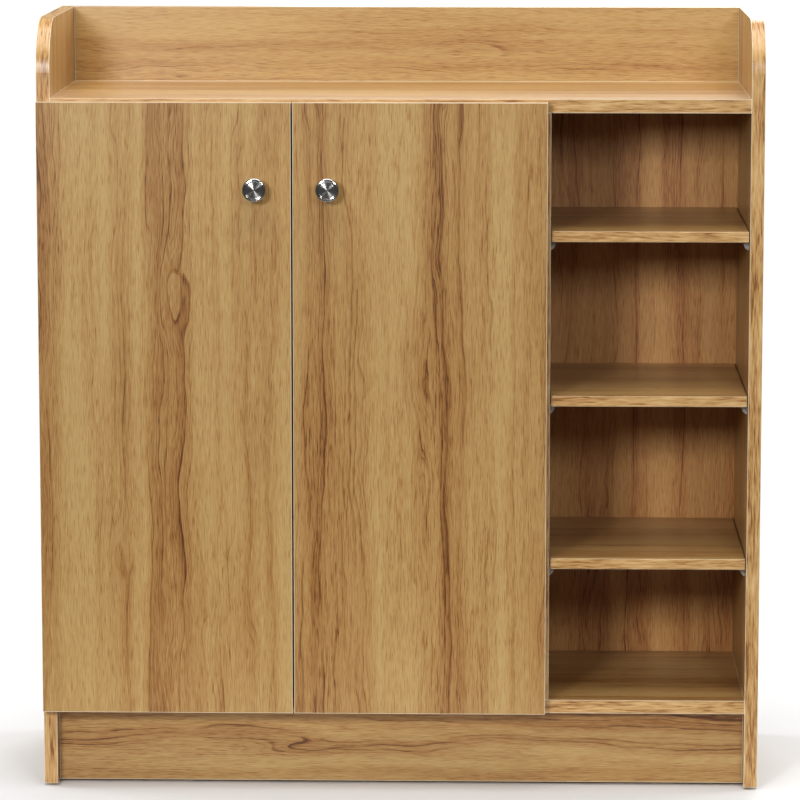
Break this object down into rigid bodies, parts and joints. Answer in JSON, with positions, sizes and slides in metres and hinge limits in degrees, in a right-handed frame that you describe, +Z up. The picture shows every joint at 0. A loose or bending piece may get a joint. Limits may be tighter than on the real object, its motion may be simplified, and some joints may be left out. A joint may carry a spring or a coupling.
{
  "type": "shoe cabinet",
  "caption": "Shoe cabinet with two hinged doors, an open column of pigeonholes and a railed top tray, built from laminated boards.",
  "frame": {"origin": "on the floor, at the middle of the width and of the full depth from knob faces to rear edges", "axes": "+Z up, the doors face -Y, +X towards the open pigeonholes"},
  "size_m": [0.8, 0.324, 0.86],
  "materials": {
    "laminated_board": "warm straight-grained wood-look laminate over particle board, edges banded",
    "laminated_hardboard": "wood-look foil on the front, raw brown hardboard behind",
    "clear_plastic": "clear moulded",
    "grey_plastic": "moulded",
    "beech_dowel": "bare, fluted",
    "zinc_alloy": "die-cast zinc",
    "zinc_plated_steel": "bright zinc plate",
    "nickel_plated_steel": "bright nickel plate",
    "spun_nickel": "concentric spun satin nickel"
  },
  "bodies": {
    "carcass": {"left_side_panel": "laminated_board", "right_side_panel": "laminated_board", "top_panel": "laminated_board", "bottom_panel": "laminated_board", "divider_panel": "laminated_board", "upstand_board": "laminated_board", "plinth_board": "laminated_board", "back_panel": "laminated_hardboard", "open_shelf_lower": "laminated_board", "open_shelf_middle": "laminated_board", "open_shelf_upper": "laminated_board", "inner_shelf_lower": "laminated_board", "inner_shelf_middle": "laminated_board", "inner_shelf_upper": "laminated_board", "open_shelf_supports": "clear_plastic", "inner_shelf_supports": "clear_plastic", "cam_locks": "zinc_alloy", "cam_bolts": "zinc_plated_steel", "wood_dowels": "beech_dowel", "back_panel_nails": "zinc_plated_steel", "floor_glides": "grey_plastic", "glide_nails": "zinc_plated_steel", "left_hinge_arms": "nickel_plated_steel", "left_hinge_arm_pins": "nickel_plated_steel", "left_hinge_arm_screws": "zinc_plated_steel", "left_hinge_plates": "nickel_plated_steel", "left_hinge_plate_screws": "zinc_plated_steel", "right_hinge_arms": "nickel_plated_steel", "right_hinge_arm_pins": "nickel_plated_steel", "right_hinge_arm_screws": "zinc_plated_steel", "right_hinge_plates": "nickel_plated_steel", "right_hinge_plate_screws": "zinc_plated_steel"},
    "left_door_leaf": {"left_door": "laminated_board", "left_knob": "spun_nickel", "left_knob_screw": "zinc_plated_steel", "left_door_bumpers": "clear_plastic", "left_hinge_cups": "nickel_plated_steel", "left_hinge_cup_screws": "zinc_plated_steel"},
    "right_door_leaf": {"right_door": "laminated_board", "right_knob": "spun_nickel", "right_knob_screw": "zinc_plated_steel", "right_door_bumpers": "clear_plastic", "right_hinge_cups": "nickel_plated_steel", "right_hinge_cup_screws": "zinc_plated_steel"},
    "left_links": {"left_hinge_links": "nickel_plated_steel", "left_hinge_link_pins": "nickel_plated_steel"},
    "right_links": {"right_hinge_links": "nickel_plated_steel", "right_hinge_link_pins": "nickel_plated_steel"}
  },
  "joints": [
    {"name": "left_door_hinge", "type": "hinge", "parent": "carcass", "child": "left_door_leaf", "pos_m": [-0.393, -0.134, 0.4305], "axis": [0, 0, -1], "range_deg": [0, 95]},
    {"name": "right_door_hinge", "type": "hinge", "parent": "carcass", "child": "right_door_leaf", "pos_m": [0.156, -0.134, 0.4305], "axis": [0, 0, 1], "range_deg": [0, 95]},
    {"name": "left_link_pivot", "type": "hinge", "parent": "carcass", "child": "left_links", "pos_m": [-0.369, -0.1305, 0.4305], "axis": [0, 0, 1], "range_deg": [0, 24]},
    {"name": "right_link_pivot", "type": "hinge", "parent": "carcass", "child": "right_links", "pos_m": [0.132, -0.1305, 0.4305], "axis": [0, 0, -1], "range_deg": [0, 24]}
  ],
  "couplings": [
    {"joint": "left_link_pivot", "follows": "left_door_hinge", "ratio": 0.25},
    {"joint": "right_link_pivot", "follows": "right_door_hinge", "ratio": 0.25}
  ]
}
